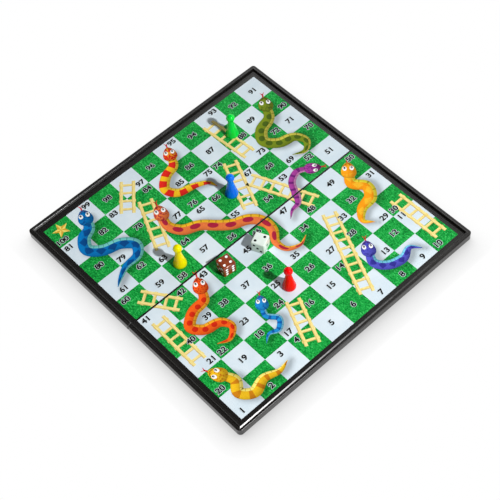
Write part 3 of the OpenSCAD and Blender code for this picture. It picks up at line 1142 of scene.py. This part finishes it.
def lights():
    """One key light from the right of the picture, a panel behind the board and a dim room."""
    lamp = bpy.data.lights.new("key", "AREA")
    lamp.energy = KEY_WATTS
    lamp.shape = "DISK"
    lamp.size = KEY_WIDTH
    key = in_scene("key", lamp)
    key.location = KEY_PLACE
    key.rotation_euler = KEY_PLACE.to_track_quat("Z", "Y").to_euler()
    world = bpy.data.worlds.new("studio")
    bpy.context.scene.world = world
    world.use_nodes = True
    nodes = Nodes(world.node_tree)
    point = nodes.node("ShaderNodeTexCoord").outputs["Generated"]
    way = nodes.node("ShaderNodeSeparateXYZ", {0: point})
    turn = nodes.maths("DEGREES", nodes.maths("ARCTAN2", way.outputs[1], way.outputs[0]))
    rise = nodes.maths("DEGREES", nodes.maths("ARCSINE", way.outputs[2]))
    panel = None
    for value, edges in ((turn, PANEL_TURN), (rise, PANEL_RISE)):
        for dark, bright in edges:
            low, high = sorted((dark, bright))
            edge = nodes.span(value, low, high, float(low == bright), float(high == bright))
            panel = edge if panel is None else nodes.maths("MULTIPLY", panel, edge)
    room = nodes.span(rise, *HORIZON, GROUND_STRENGTH, ROOM_STRENGTH)
    around = nodes.maths("MULTIPLY_ADD", panel, PANEL_STRENGTH, room)
    path = nodes.node("ShaderNodeLightPath")
    backdrop = nodes.maths("MULTIPLY", path.outputs["Is Glossy Ray"],
                           nodes.span(rise, *BACKDROP_TOP, 1.0, 0.0))
    around = nodes.maths("MAXIMUM", around, backdrop)
    seen = nodes.maths("MAXIMUM", path.outputs["Is Camera Ray"],
                       path.outputs["Is Transmission Ray"])
    nodes.feed(world.node_tree.nodes["Background"],
               {"Color": (1, 1, 1, 1), "Strength": nodes.span(seen, 0, 1, around, 1.0)})


# The camera, from the photograph's own perspective of the grid
CAMERA_PLACE = (-0.3937, -0.5151, 0.9155)
CAMERA_TURN = (34.545, 3.644, -42.716)
FOCAL_PIXELS = 1352.7
PICTURE_PIXELS = 500
SENSOR = 36.0
CLIP_START = 0.01


def camera():
    """The camera of the picture."""
    lens = bpy.data.cameras.new("camera")
    lens.sensor_width = SENSOR
    lens.lens = SENSOR * FOCAL_PIXELS / PICTURE_PIXELS
    lens.clip_start = CLIP_START
    made = in_scene("camera", lens)
    made.location = CAMERA_PLACE
    made.rotation_euler = [math.radians(turn) for turn in CAMERA_TURN]
    bpy.context.scene.camera = made


def dress_cad():
    """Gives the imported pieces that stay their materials."""
    matt = textured_black("textured_black")
    links = textured_black("link_black")
    plate = bare_steel("plate_steel", (0.56, 0.57, 0.58, 1.0), (1, 12, 1))
    pin = bare_steel("pin_steel", (0.6, 0.6, 0.61, 1.0), (0.1, 1, 1))
    nickel = bare_steel("magnet_nickel", (0.3, 0.3, 0.31, 1.0))
    looks = {"tray": moulded_black(), "base_panel": matt, "steel_plate": plate,
             "hinge_link": links, "hinge_pin": pin, "magnet": nickel}
    slots = {part["node"]: part["material_slot"] for part in frame["record"]["subparts"]}
    for name, piece in frame["nodes"].items():
        look = looks.get(slots[name])
        if look is None:
            continue
        piece.data.materials.clear()
        piece.data.materials.append(look)


# Inks of the print, in levels as they look on screen
INKS = {"number_ink": (16, 16, 18), "halo_white": (218, 230, 234), "eye_white": (250, 250, 246),
        "pupil_black": (14, 14, 16), "tongue_red": (206, 22, 40), "mouth_brown": (92, 26, 22),
        "gold_light": (250, 222, 110), "gold_dark": (216, 168, 52)}


def print_board():
    """The film of both halves with its squares, figures and numbers."""
    paints = {name: ink(name, colour(*tint)) for name, tint in INKS.items()}
    snakes = []
    for name, radius, course in SNAKES:
        *tints, pattern, period, share, lines = SKINS[name]
        back, mark, belly = (colour(*tint) for tint in tints)
        skin = snake_skin("skin_" + name, back, mark, belly, pattern, period, share, lines)
        snakes.append(Snake(course, radius, skin, lit_paint("head_" + name, back, mark)))
    ladders = [Ladder(foot, top, k) for k, (foot, top) in enumerate(LADDERS)]
    film_looks = [film_white(), film_green(), film_edge(), film_border()]
    ladder_art = Drawing()
    wood = painted_wood()
    for ladder in ladders:
        ladder.draw(ladder_art, wood)
    snake_art = Drawing()
    for snake in snakes:
        snake.draw(snake_art, paints)
    goal = Vector(square_place(COLUMNS * ROWS)) + STAR_PLACE
    draw_star(snake_art, goal, paints)
    numbers = Drawing()
    art = art_points(snakes, ladders) + [(goal, STAR_R)]
    art += [standing_place(tone) for tone in PAWN_TONES]
    draw_numbers(numbers, art, paints)
    for half in HALVES:
        printed_film(half, snakes, film_looks)
        for drawing, name in ((ladder_art, "ladders"), (snake_art, "snakes"),
                              (numbers, "numbers")):
            lay_on_film(drawing, name, half)


def pawns():
    """The four pawns, in plastic that lets some light through."""
    for tone, (tint, deep) in PAWN_TONES.items():
        turned_pawn(tone, glossy_plastic(tone + "_gloss", tint, deep, specular=0.22, depth=0.85))


def dice():
    """The white die with black pips and the brown one with white pips."""
    cube_die("white",
             glossy_plastic("ivory", colour(236, 247, 240), colour(224, 237, 226)),
             ink("pip_black", colour(12, 12, 12)))
    cube_die("brown",
             glossy_plastic("bakelite", colour(152, 66, 26), colour(122, 42, 14)),
             ink("pip_white", colour(250, 250, 250)))


scene = bpy.context.scene
scene.view_settings.view_transform = "Standard"
camera()
lights()
stage_floor()
dress_cad()
print_board()
pawns()
dice()
